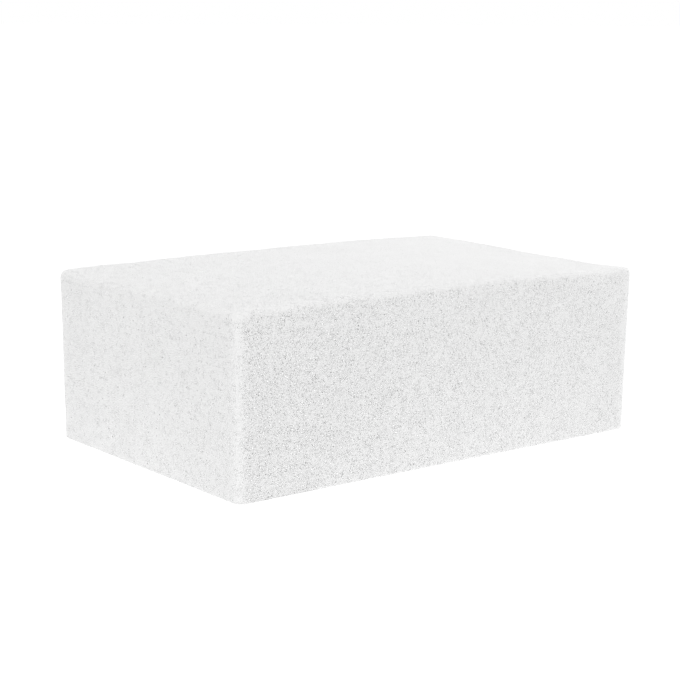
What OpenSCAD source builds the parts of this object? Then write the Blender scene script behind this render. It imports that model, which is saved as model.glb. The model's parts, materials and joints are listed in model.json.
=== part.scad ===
// Finish applicator sponge: one cut block of fine foam with a flat base,
// leaning walls, rounded upright corners and a softly crowned top face.
// The base lies on z = 0, the length runs along X and the width along Y.

/* [Block] */

// Length of the block at its top, from end to end
block_length = 146; // [80:1:220]

// Width of the block at its top, from front to back
block_width = 95.2; // [50:0.2:150]

// Height of the block at its two ends
block_height = 50.8; // [24:0.2:90]

/* [Cut faces] */

// How far each wall steps in at the base
wall_lean = 0.6; // [0:0.2:4]

// Rise of the top face at mid length above its two ends
crown_rise = 1.2; // [0:0.2:6]

/* [Softened edges] */

// Radius of the four upright corners
corner_radius = 3; // [0.6:0.2:16]

// Radius of the edge that runs round the top face
top_edge_radius = 2.4; // [0.6:0.2:10]

/* [Hidden] */

foam_colour = "whitesmoke";

// divisions of each upright corner, of the top edge and of each long wall
corner_steps = 8;
edge_steps = 6;
length_steps = 16;

// radius that an upright corner keeps where the top edge is wider than it
least_radius = 0.2;

// how far the walls run on below the base before the flat cut
cut_allowance = 2;

half_length = block_length / 2;
half_width = block_width / 2;
wall_top = block_height - top_edge_radius;

// How far a wall lies inside the top outline at a given height
function lean_at(height) = wall_lean * (1 - height / wall_top);

// Height that the crown adds at a place along the length
function crown_at(x) = crown_rise * (1 - pow(x / half_length, 2));

// Wall section from the bottom up: inset, height and share of the crown
wall_section = concat(
    [[lean_at(-cut_allowance), -cut_allowance, 0]],
    [
        for (step = [0:edge_steps])
            let (angle = 90 * step / edge_steps)
            [
                top_edge_radius * (1 - cos(angle)),
                wall_top + top_edge_radius * sin(angle),
                1
            ]
    ]
);

// Quarter round at one end of the front wall, turned on from a first angle
function corner_points(end, inset, first) =
    let (radius = max(corner_radius - inset, least_radius))
    [
        for (step = [0:corner_steps])
            let (angle = first + 90 * step / corner_steps)
            [
                end * (half_length - inset - radius) + radius * cos(angle),
                radius * (1 + sin(angle)) - half_width + inset
            ]
    ];

// Front half of the outline, from the left end to the right end
function front_points(inset) =
    let (left = corner_points(-1, inset, 180), right = corner_points(1, inset, 270))
    let (wall = right[0] - left[corner_steps])
    concat(
        left,
        [for (step = [1:length_steps - 1]) left[corner_steps] + wall * step / length_steps],
        right
    );

// Closed ring at one entry of the wall section: the back mirrors the front
function ring(entry) =
    let (front = front_points(entry[0]), last = len(front) - 1)
    let (back = [for (i = [last:-1:0]) [front[i][0], -front[i][1]]])
    [for (p = concat(front, back)) [p[0], p[1], entry[1] + entry[2] * crown_at(p[0])]];

// Skin over rings of equal count, closed flat below and crowned above
module loft(rings) {
    count = len(rings[0]);
    top = count * (len(rings) - 1);
    bottom_face = [for (i = [0:count - 1]) i];
    wall_faces = [
        for (level = [0:len(rings) - 2], i = [0:count - 1])
            let (here = level * count + i, next = level * count + (i + 1) % count)
            each [[here, here + count, next + count], [here, next + count, next]]
    ];
    top_faces = [
        for (i = [0:count / 2 - 2])
            [top + i, top + count - 1 - i, top + count - 2 - i, top + i + 1]
    ];
    polyhedron(
        points = [for (r = rings) each r],
        faces = concat([bottom_face], wall_faces, top_faces)
    );
}

// Everything above the flat base
module above_base() {
    translate([-block_length, -block_width, 0])
        cube([2 * block_length, 2 * block_width, 2 * block_height + crown_rise]);
}

module foam_block() {
    color(foam_colour)
        intersection() {
            loft([for (entry = wall_section) ring(entry)]);
            above_base();
        }
}

foam_block();
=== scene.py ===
import bpy
import math
from mathutils import Matrix, Vector
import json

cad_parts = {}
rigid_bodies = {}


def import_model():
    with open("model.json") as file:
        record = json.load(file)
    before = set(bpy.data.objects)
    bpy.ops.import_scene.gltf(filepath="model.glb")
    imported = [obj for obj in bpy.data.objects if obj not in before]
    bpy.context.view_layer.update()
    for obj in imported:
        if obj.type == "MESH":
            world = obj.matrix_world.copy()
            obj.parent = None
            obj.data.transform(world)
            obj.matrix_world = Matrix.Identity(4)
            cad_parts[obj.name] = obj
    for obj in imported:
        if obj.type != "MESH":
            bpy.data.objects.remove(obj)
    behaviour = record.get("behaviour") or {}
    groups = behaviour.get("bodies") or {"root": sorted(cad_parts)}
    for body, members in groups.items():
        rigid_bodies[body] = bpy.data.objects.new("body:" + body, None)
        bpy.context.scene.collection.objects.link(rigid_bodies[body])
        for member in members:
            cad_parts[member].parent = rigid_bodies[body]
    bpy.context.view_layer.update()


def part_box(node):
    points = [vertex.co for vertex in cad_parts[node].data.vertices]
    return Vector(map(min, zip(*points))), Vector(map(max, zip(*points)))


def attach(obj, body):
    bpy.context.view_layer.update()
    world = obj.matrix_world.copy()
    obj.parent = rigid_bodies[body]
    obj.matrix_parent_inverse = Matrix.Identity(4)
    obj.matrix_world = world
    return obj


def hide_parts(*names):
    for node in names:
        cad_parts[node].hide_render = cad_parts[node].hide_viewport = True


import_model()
print("frame loaded")

scene = bpy.context.scene


def clearSelection():
    bpy.ops.object.select_all(action="DESELECT")


def makeActive(piece):
    piece.select_set(True)
    bpy.context.view_layer.objects.active = piece


# the two below start and end in edit mode
def selectVerts(piece, test):
    bpy.ops.mesh.select_mode(type="VERT")
    bpy.ops.mesh.select_all(action="DESELECT")
    bpy.ops.object.mode_set(mode="OBJECT")
    for vert in piece.data.vertices:
        vert.select = test(vert.co)
    bpy.ops.object.mode_set(mode="EDIT")


def selectEdges(piece, test):
    bpy.ops.mesh.select_mode(type="EDGE")
    bpy.ops.mesh.select_all(action="DESELECT")
    bpy.ops.object.mode_set(mode="OBJECT")
    verts = piece.data.vertices
    for edge in piece.data.edges:
        edge.select = test(verts[edge.vertices[0]].co, verts[edge.vertices[1]].co)
    bpy.ops.object.mode_set(mode="EDIT")


# camera: lens in mm, the way it looks in degrees, and its distances in metres
cameraView = {
    "lens": 91.7,
    "sensor": 36.0,
    "yaw": 37.62,
    "pitch": 10.64,
    "roll": -0.23,
    "distance": 0.5265,
    "offRight": 0.00248,
    "offUp": -0.00344,
    "aimHeight": 0.0254,
    "nearest": 0.01,
    "farthest": 20.0,
}


def makeCamera():
    view = cameraView
    yaw, pitch, roll = (math.radians(view[k]) for k in ("yaw", "pitch", "roll"))
    ahead = Vector((math.sin(yaw) * math.cos(pitch), math.cos(yaw) * math.cos(pitch), -math.sin(pitch)))
    right = Vector((math.cos(yaw), -math.sin(yaw), 0.0))
    up = right.cross(ahead)
    rolledRight = math.cos(roll) * right - math.sin(roll) * up
    rolledUp = math.sin(roll) * right + math.cos(roll) * up
    place = Vector((0.0, 0.0, view["aimHeight"])) - view["distance"] * ahead
    place -= view["offRight"] * rolledRight + view["offUp"] * rolledUp
    clearSelection()
    bpy.ops.object.camera_add(location=place)
    camera = bpy.context.object
    camera.name = "viewCamera"
    turn = Matrix((rolledRight, rolledUp, -ahead)).transposed()
    camera.rotation_euler = turn.to_euler()
    camera.data.lens = view["lens"]
    camera.data.sensor_width = view["sensor"]
    camera.data.clip_start = view["nearest"]
    camera.data.clip_end = view["farthest"]
    scene.camera = camera
    print("camera set")


# foam block: shape of the cut and size of its cells, lengths in metres
foamBlock = {
    "crown": 0.0012,
    "leanLeft": 0.00035,
    "leanRight": 0.0010,
    "leanSides": 0.0005,
    "overLength": 0.00055,  # more length at the right end
    "cornerRadius": 0.0030,
    "cornerSteps": 6,
    "topRadius": 0.0020,
    "topSteps": 5,
    "baseRadius": 0.0004,
    "baseSteps": 3,
    "onFace": 1e-5,  # an edge this near a face lies in it
    "cellSize": 0.00102,
    "jitter": 0.00045,
    "cagePoints": 7,
    "cageRoom": 1.02,
    "cageEnd": 0.49,  # cage points beyond this are at the right end
    "crownPull": 1.1,  # the cage's curve falls short of its points
    "nudges": (  # place along and across from -1 to 1, lift, reach
        (-0.60, -1.0, 0.0005, 0.018),
        (-0.86, 1.0, 0.0003, 0.014),
        (0.70, -1.0, -0.0007, 0.028),
        (1.0, -0.30, -0.0008, 0.040),
        (1.0, -0.70, -0.0003, 0.014),
        (-0.10, 1.0, -0.0003, 0.045),
    ),
    "nudgeGrip": 0.003,
    "underside": 1e-4,
    "baseFaces": 0.12,  # share of the underside's faces that stays
    "baseGap": 0.0008,  # below this height the skin stays plain
    "freeRise": 0.004,  # the unevenness sets in over this height
    "wave": 0.00030,
    "waveSize": 0.018,
    "ripple": 0.00010,
    "rippleSize": 0.0028,
    "poreShare": 0.40,
    "poreRim": 0.00036,
    "poreDepth": 0.00032,
    "poreRoom": 0.00084,  # a cell with a shorter side stays closed
    "endFacing": 0.8,  # a face that looks this far along the block is on an end
    "rimFacing": (0.15, 0.97),  # a face that looks up this much is on the rim
    "smoothAngle": 40.0,
    # the next eight keys set a painted highlight along the upright corners and the rim, and how far it
    # thins the pore and glint dots
    "edgeHighlight": 0.0040,
    "wideHighlight": 1.2,
    "highlightBase": 1.5,
    "highlightFall": 0.4,
    "highlightDotFade": 0.7,
    "rimDepth": 0.0010,
    "rimHighlight": 0.3,
    "rimGain": 3.0,
    # the next four keys set where the painted pore shade and glints go: most on the long walls, fewer
    # on the ends, and fewer towards the right on the walls and the top
    "wallGain": 1.2,
    "endDotShare": 0.34,
    "topDotFade": 0.75,
    "rightDotFade": 0.85,
    "seed": 7,
}


def clamped(value):
    return min(1.0, max(0.0, value))


def cutBlock(length, width, endHeight):
    s = foamBlock
    clearSelection()
    bpy.ops.mesh.primitive_cube_add(size=1, location=(0, 0, 0))
    piece = bpy.context.object
    piece.name = "foamSponge"
    bpy.ops.object.mode_set(mode="EDIT")
    bpy.ops.mesh.select_all(action="SELECT")
    bpy.ops.transform.resize(value=(length, width, endHeight))
    bpy.ops.transform.translate(value=(0, 0, endHeight / 2))

    # round the upright corners first, then the rims of the top and the base
    selectEdges(piece, lambda a, b: abs(a.z - b.z) > endHeight / 2)
    bpy.ops.mesh.bevel(offset=s["cornerRadius"], segments=s["cornerSteps"], affect="EDGES")
    selectEdges(piece, lambda a, b: min(a.z, b.z) > endHeight - s["onFace"])
    bpy.ops.mesh.bevel(offset=s["topRadius"], segments=s["topSteps"], affect="EDGES")
    selectEdges(piece, lambda a, b: max(a.z, b.z) < s["onFace"])
    bpy.ops.mesh.bevel(offset=s["baseRadius"], segments=s["baseSteps"], affect="EDGES")
    bpy.ops.object.mode_set(mode="OBJECT")
    print("block cut,", len(piece.data.vertices), "vertices")
    return piece


def layCells(piece):
    # even cells over the whole skin, shaken up and laid back on the cut faces
    s = foamBlock
    clearSelection()
    makeActive(piece)
    bpy.ops.object.duplicate()
    cut = bpy.context.object
    clearSelection()
    makeActive(piece)
    remesh = piece.modifiers.new("cells", "REMESH")
    remesh.mode = "VOXEL"
    remesh.voxel_size = s["cellSize"]
    bpy.ops.object.modifier_apply(modifier=remesh.name)
    bpy.ops.object.mode_set(mode="EDIT")
    selectVerts(piece, lambda co: co.z > s["baseGap"])
    bpy.ops.transform.vertex_random(offset=s["jitter"], uniform=0.0, normal=0.0, seed=s["seed"])
    bpy.ops.object.mode_set(mode="OBJECT")
    wrap = piece.modifiers.new("cut", "SHRINKWRAP")
    wrap.target = cut
    wrap.wrap_method = "NEAREST_SURFACEPOINT"
    bpy.ops.object.modifier_apply(modifier=wrap.name)
    bpy.data.objects.remove(cut)
    print("cells laid,", len(piece.data.vertices), "vertices")


def bendBlock(piece, length, width, endHeight):
    # crown and lean through a cage
    s = foamBlock
    clearSelection()
    bpy.ops.object.add(type="LATTICE", location=(0, 0, endHeight / 2))
    cage = bpy.context.object
    cage.data.points_u, cage.data.points_v, cage.data.points_w = s["cagePoints"], 2, 2
    cage.data.interpolation_type_u = "KEY_BSPLINE"
    cage.data.interpolation_type_v = "KEY_LINEAR"
    cage.data.interpolation_type_w = "KEY_LINEAR"
    cage.scale = [side * s["cageRoom"] for side in (length, width, endHeight)]
    for point in cage.data.points:
        across, back, up = point.co
        if across > s["cageEnd"]:
            point.co_deform.x += s["overLength"] / length
        if up > 0:
            rise = 1 - (2 * across) ** 2
            point.co_deform.z += s["crown"] * s["crownPull"] * rise / endHeight
        else:
            lean = s["leanLeft"] if across < 0 else s["leanRight"]
            point.co_deform.x *= 1 - 2 * lean / length
            point.co_deform.y *= 1 - 2 * s["leanSides"] / width
    clearSelection()
    makeActive(piece)
    bend = piece.modifiers.new("crown", "LATTICE")
    bend.object = cage
    bpy.ops.object.modifier_apply(modifier=bend.name)
    bpy.data.objects.remove(cage)
    print("block bent")


def finishCut(piece, length, width, endHeight):
    # the knife wandered a little: the rim rises in two places and dips in four
    s = foamBlock
    bpy.ops.object.mode_set(mode="EDIT")
    for along, back, lift, reach in s["nudges"]:
        place = Vector((along * length / 2, back * width / 2, endHeight))
        selectVerts(piece, lambda co: (co - place).length < s["nudgeGrip"])
        bpy.ops.transform.translate(
            value=(0, 0, lift), use_proportional_edit=True,
            proportional_edit_falloff="SMOOTH", proportional_size=reach)

    # the underside rests flat and needs few faces
    selectVerts(piece, lambda co: co.z < s["underside"])
    bpy.ops.mesh.decimate(ratio=s["baseFaces"])
    bpy.ops.object.mode_set(mode="OBJECT")
    print("cut finished,", len(piece.data.vertices), "vertices")


def roughenSkin(piece):
    # all but the underside is a little uneven
    s = foamBlock
    free = piece.vertex_groups.new(name="free")
    for vert in piece.data.vertices:
        share = clamped((vert.co.z - s["baseGap"]) / s["freeRise"])
        free.add([vert.index], share, "REPLACE")
    for name in ("wave", "ripple"):
        cloud = bpy.data.textures.new(name, "CLOUDS")
        cloud.noise_scale = s[name + "Size"]
        cloud.noise_depth = 1
        push = piece.modifiers.new(name, "DISPLACE")
        push.texture = cloud
        push.texture_coords = "LOCAL"
        push.strength = s[name]
        push.mid_level = 0.5
        push.vertex_group = "free"
        bpy.ops.object.modifier_apply(modifier=push.name)
    print("skin roughened")


def openPores(piece):
    # a share of the cells gets a small hole, with half as many on the ends
    s = foamBlock
    bpy.ops.object.mode_set(mode="EDIT")
    bpy.ops.mesh.select_mode(type="FACE")
    bpy.ops.mesh.select_all(action="DESELECT")
    bpy.ops.mesh.select_random(ratio=s["poreShare"], seed=s["seed"])
    bpy.ops.object.mode_set(mode="OBJECT")
    rimLow, rimHigh = s["rimFacing"]
    verts = piece.data.vertices
    for poly in piece.data.polygons:
        corners = [verts[i].co for i in poly.vertices]
        narrow = min((a - b).length for a, b in zip(corners, corners[1:] + corners[:1]))
        spared = abs(poly.normal.x) > s["endFacing"] and poly.index % 2
        onRim = rimLow < poly.normal.z < rimHigh
        if poly.center.z < s["baseGap"] or narrow < s["poreRoom"] or spared or onRim:
            poly.select = False
    bpy.ops.object.mode_set(mode="EDIT")
    bpy.ops.mesh.inset(thickness=s["poreRim"], depth=0.0, use_individual=True)
    bpy.ops.mesh.poke(offset=-s["poreDepth"])
    bpy.ops.object.mode_set(mode="OBJECT")
    bpy.ops.object.shade_smooth_by_angle(angle=math.radians(s["smoothAngle"]))
    triangles = sum(len(poly.vertices) - 2 for poly in piece.data.polygons)
    print("pores opened,", triangles, "triangles")


def markCells(piece, length, width, endHeight):
    # painted highlight along the upright corners and the rim, wider on two of the uprights and stronger
    # lower down, standing in for light that shows through the thin edges, with fewer pore and glint
    # dots in it;
    # the painted pore shade and glints are densest on the long walls, standing in for the grain that
    # grazing light shows there, and thin out there and on the top towards the right
    s = foamBlock
    highlightMark = piece.data.attributes.new("edgeHighlight", "FLOAT", "POINT")
    shadeGlintMark = piece.data.attributes.new("shadeGlintShare", "FLOAT", "POINT")
    for vert in piece.data.vertices:
        x, y, z = vert.co
        along = 0.5 + x / length
        gap = max(length / 2 - abs(x), width / 2 - abs(y))
        reach = s["edgeHighlight"] * (s["wideHighlight"] if x * y < 0 else 1.0)
        uprightHighlight = clamped((s["highlightBase"] - s["highlightFall"] * z / endHeight) * (1 - gap / reach))
        topHere = endHeight + s["crown"] * (1 - (2 * x / length) ** 2)
        depth = clamped((topHere - z - s["rimDepth"]) / s["rimDepth"])
        wall = min(1.0, s["wallGain"] * abs(vert.normal.y)) * depth * (1 - s["rightDotFade"] * along)
        rim = (1 - depth) * min(1.0, s["rimGain"] * max(0.0, 1 - vert.normal.z))
        quiet = s["endDotShare"] * (1 - s["topDotFade"] * max(0.0, vert.normal.z) * along)
        share = quiet + (1 - s["endDotShare"]) * wall
        # painted highlight on the upright corners and the rim
        highlightMark.data[vert.index].value = max(uprightHighlight, s["rimHighlight"] * rim)
        # share of the painted pore shade and glints, thinned under the painted highlight
        shadeGlintMark.data[vert.index].value = share * (1 - s["highlightDotFade"] * uprightHighlight)
    print("cells marked")


def makeFoamBlock():
    low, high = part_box("foam_block")
    length, width = high.x - low.x, high.y - low.y
    endHeight = high.z - low.z - foamBlock["crown"]
    piece = cutBlock(length, width, endHeight)
    layCells(piece)
    bendBlock(piece, length, width, endHeight)
    finishCut(piece, length, width, endHeight)
    roughenSkin(piece)
    openPores(piece)
    markCells(piece, length, width, endHeight)
    piece.data.materials.append(makeFoam())
    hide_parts("foam_block")
    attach(piece, "root")


# foam: tones, and sizes of the fine pores, painted with shade, and of the strut ends, painted as bright
# glints
foamFinish = {
    "skin": 0.738,
    "skinSpread": 0.015,
    # painted shade in the pores
    "shadedPore": 0.24,
    # painted glints on the strut ends
    "glintStrut": 0.97,
    # painted highlight along the edges and the rim
    "edge": 0.785,
    "roughness": 0.92,
    "gloss": 0.15,
    "fuzz": 0.35,
    "fuzzRoughness": 0.4,
    "softness": 0.25,
    "softDepth": 0.0015,
    "turn": (0.55, 0.83, 0.37),  # keeps the cell rows off the cut faces
    "shadedPoreScale": 2300.0,
    "shadedPoreSize": 0.37,
    "shadedPoreGain": 0.72,
    "glintStrutScale": 1900.0,
    "glintStrutSize": 0.50,
    "glintStrutGain": 2.8,
    "dotCore": 0.4,
    "clumpScale": 420.0,
    "clumpDetail": 1.0,
    "clumpFrom": (0.35, 0.65),
    "clumpTo": (0.55, 1.5),
    "patchScale": 90.0,
    "patchDetail": 3.0,
    "patchFrom": (0.3, 0.7),
    "bump": 0.00023,
}


def grey(value):
    return (value, value, value, 1.0)


def addMath(nodes, links, operation, first, second):
    step = nodes.new("ShaderNodeMath")
    step.operation = operation
    links.new(first, step.inputs[0])
    if isinstance(second, (int, float)):
        step.inputs[1].default_value = second
    else:
        links.new(second, step.inputs[1])
    return step


def addRange(nodes, links, value, fromRange=(0.0, 1.0), toRange=(0.0, 1.0)):
    ramp = nodes.new("ShaderNodeMapRange")
    for name, level in zip(("From Min", "From Max", "To Min", "To Max"), fromRange + toRange):
        ramp.inputs[name].default_value = level
    links.new(value, ramp.inputs["Value"])
    return ramp.outputs["Result"]


def addNoise(nodes, links, where, scale, detail):
    noise = nodes.new("ShaderNodeTexNoise")
    noise.inputs["Scale"].default_value = scale
    noise.inputs["Detail"].default_value = detail
    links.new(where, noise.inputs["Vector"])
    return noise.outputs["Fac"]


def addMark(nodes, name):
    mark = nodes.new("ShaderNodeAttribute")
    mark.attribute_name = name
    return mark.outputs["Fac"]


def addDots(nodes, links, where, share, kind):
    # small round dots, each with its own strength
    s = foamFinish
    size = s[kind + "Size"]
    cells = nodes.new("ShaderNodeTexVoronoi")
    cells.inputs["Scale"].default_value = s[kind + "Scale"]
    links.new(where, cells.inputs["Vector"])
    dots = addRange(nodes, links, cells.outputs["Distance"], (size, size * s["dotCore"]))
    strength = nodes.new("ShaderNodeSeparateColor")
    links.new(cells.outputs["Color"], strength.inputs["Color"])
    mixed = addMath(nodes, links, "MULTIPLY", dots, strength.outputs["Red"])
    shared = addMath(nodes, links, "MULTIPLY", mixed.outputs["Value"], share)
    gained = addMath(nodes, links, "MULTIPLY", shared.outputs["Value"], s[kind + "Gain"])
    gained.use_clamp = True
    return gained.outputs["Value"]


def addTint(nodes, links, factor, under, over):
    tint = nodes.new("ShaderNodeMix")
    tint.data_type = "RGBA"
    links.new(factor, tint.inputs["Factor"])
    if isinstance(under, (int, float)):
        tint.inputs["A"].default_value = grey(under)
    else:
        links.new(under, tint.inputs["A"])
    tint.inputs["B"].default_value = grey(over)
    return tint.outputs["Result"]


def makeFoam():
    s = foamFinish
    foam = bpy.data.materials.new("whiteFoam")
    foam.use_nodes = True
    nodes, links = foam.node_tree.nodes, foam.node_tree.links
    shader = nodes["Principled BSDF"]
    shader.inputs["Specular IOR Level"].default_value = s["gloss"]
    shader.inputs["Sheen Weight"].default_value = s["fuzz"]
    shader.inputs["Sheen Roughness"].default_value = s["fuzzRoughness"]
    shader.inputs["Subsurface Weight"].default_value = s["softness"]
    shader.inputs["Subsurface Radius"].default_value = (1.0, 1.0, 1.0)
    shader.inputs["Subsurface Scale"].default_value = s["softDepth"]

    place = nodes.new("ShaderNodeTexCoord")
    turned = nodes.new("ShaderNodeMapping")
    turned.inputs["Rotation"].default_value = s["turn"]
    links.new(place.outputs["Object"], turned.inputs["Vector"])
    where = turned.outputs["Vector"]

    # the painted pore shade and glints come in small clumps
    shadeGlintMark = addMark(nodes, "shadeGlintShare")
    clumps = addNoise(nodes, links, where, s["clumpScale"], s["clumpDetail"])
    clumped = addRange(nodes, links, clumps, s["clumpFrom"], s["clumpTo"])
    share = addMath(nodes, links, "MULTIPLY", shadeGlintMark, clumped).outputs["Value"]
    # dots of painted shade in the pores; they also set the bump
    shadedPores = addDots(nodes, links, where, share, "shadedPore")
    # dots of painted glints on the strut ends; they also set the bump
    glintStruts = addDots(nodes, links, where, share, "glintStrut")

    # slightly patchy skin, then the painted highlight along the edges and rim, the painted glints on
    # the strut ends and the painted shade in the pores over it
    cloud = addNoise(nodes, links, where, s["patchScale"], s["patchDetail"])
    patchy = addRange(nodes, links, cloud, s["patchFrom"])
    darkest, palest = s["skin"] * (1 - s["skinSpread"]), s["skin"] * (1 + s["skinSpread"])
    skin = addTint(nodes, links, patchy, darkest, palest)
    highlighted = addTint(nodes, links, addMark(nodes, "edgeHighlight"), skin, s["edge"])
    lit = addTint(nodes, links, glintStruts, highlighted, s["glintStrut"])
    final = addTint(nodes, links, shadedPores, lit, s["shadedPore"])
    links.new(final, shader.inputs["Base Color"])
    rough = addRange(nodes, links, shadedPores, toRange=(s["roughness"], 1.0))
    links.new(rough, shader.inputs["Roughness"])

    # struts stand up and pores lie deeper
    height = addMath(nodes, links, "SUBTRACT", glintStruts, shadedPores)
    relief = nodes.new("ShaderNodeBump")
    relief.inputs["Distance"].default_value = s["bump"]
    links.new(height.outputs["Value"], relief.inputs["Height"])
    links.new(relief.outputs["Normal"], shader.inputs["Normal"])
    print("foam mixed")
    return foam


# pale floor and soft lights, each with its place, width and power
studio = {
    "floorSize": 40.0,
    "floorDrop": 0.00002,
    "floorTone": 0.10,
    "floorRoughness": 0.9,
    "floorGloss": 0.1,
    "floorGlow": 0.94,
    "poolGlow": 0.42,
    "poolSize": (0.15, 0.12),
    "world": 1.0,
    "aimHeight": 0.025,
    "lights": (
        ("topLight", (0.09, 0.05, 0.62), 0.40, 0.46),
        ("frontLight", (-0.84, -0.42, 0.20), 0.90, 0.65),
        ("sideLight", (-0.35, -1.05, 0.22), 0.30, 0.75),
    ),
}


def makeStudio():
    s = studio
    clearSelection()
    bpy.ops.mesh.primitive_plane_add(size=s["floorSize"], location=(0, 0, -s["floorDrop"]))
    floor = bpy.context.object
    floor.name = "floor"
    pale = bpy.data.materials.new("paleFloor")
    pale.use_nodes = True
    shader = pale.node_tree.nodes["Principled BSDF"]
    shader.inputs["Base Color"].default_value = grey(s["floorTone"])
    shader.inputs["Roughness"].default_value = s["floorRoughness"]
    shader.inputs["Specular IOR Level"].default_value = s["floorGloss"]
    shader.inputs["Emission Color"].default_value = grey(1.0)
    nodes, links = pale.node_tree.nodes, pale.node_tree.links
    place = nodes.new("ShaderNodeTexCoord")
    reach = nodes.new("ShaderNodeMapping")
    reach.inputs["Scale"].default_value = (1 / s["poolSize"][0], 1 / s["poolSize"][1], 1)
    pool = nodes.new("ShaderNodeTexGradient")  # a little brighter round the block
    pool.gradient_type = "SPHERICAL"
    links.new(place.outputs["Object"], reach.inputs["Vector"])
    links.new(reach.outputs["Vector"], pool.inputs["Vector"])
    brightest = s["floorGlow"] + s["poolGlow"]
    glow = addRange(nodes, links, pool.outputs["Fac"], toRange=(s["floorGlow"], brightest))
    links.new(glow, shader.inputs["Emission Strength"])
    floor.data.materials.append(pale)

    world = bpy.data.worlds.new("whiteRoom")
    world.use_nodes = True
    backdrop = world.node_tree.nodes["Background"]
    backdrop.inputs["Color"].default_value = grey(1.0)
    backdrop.inputs["Strength"].default_value = s["world"]
    scene.world = world

    for name, spot, size, power in s["lights"]:
        clearSelection()
        bpy.ops.object.light_add(type="AREA", location=spot)
        lamp = bpy.context.object
        lamp.name = name
        lamp.data.shape = "SQUARE"
        lamp.data.size = size
        lamp.data.energy = power
        aim = Vector((0, 0, s["aimHeight"])) - Vector(spot)
        lamp.rotation_euler = aim.to_track_quat("-Z", "Y").to_euler()
    scene.view_settings.view_transform = "Standard"
    print("studio lit")


makeCamera()
makeFoamBlock()
makeStudio()
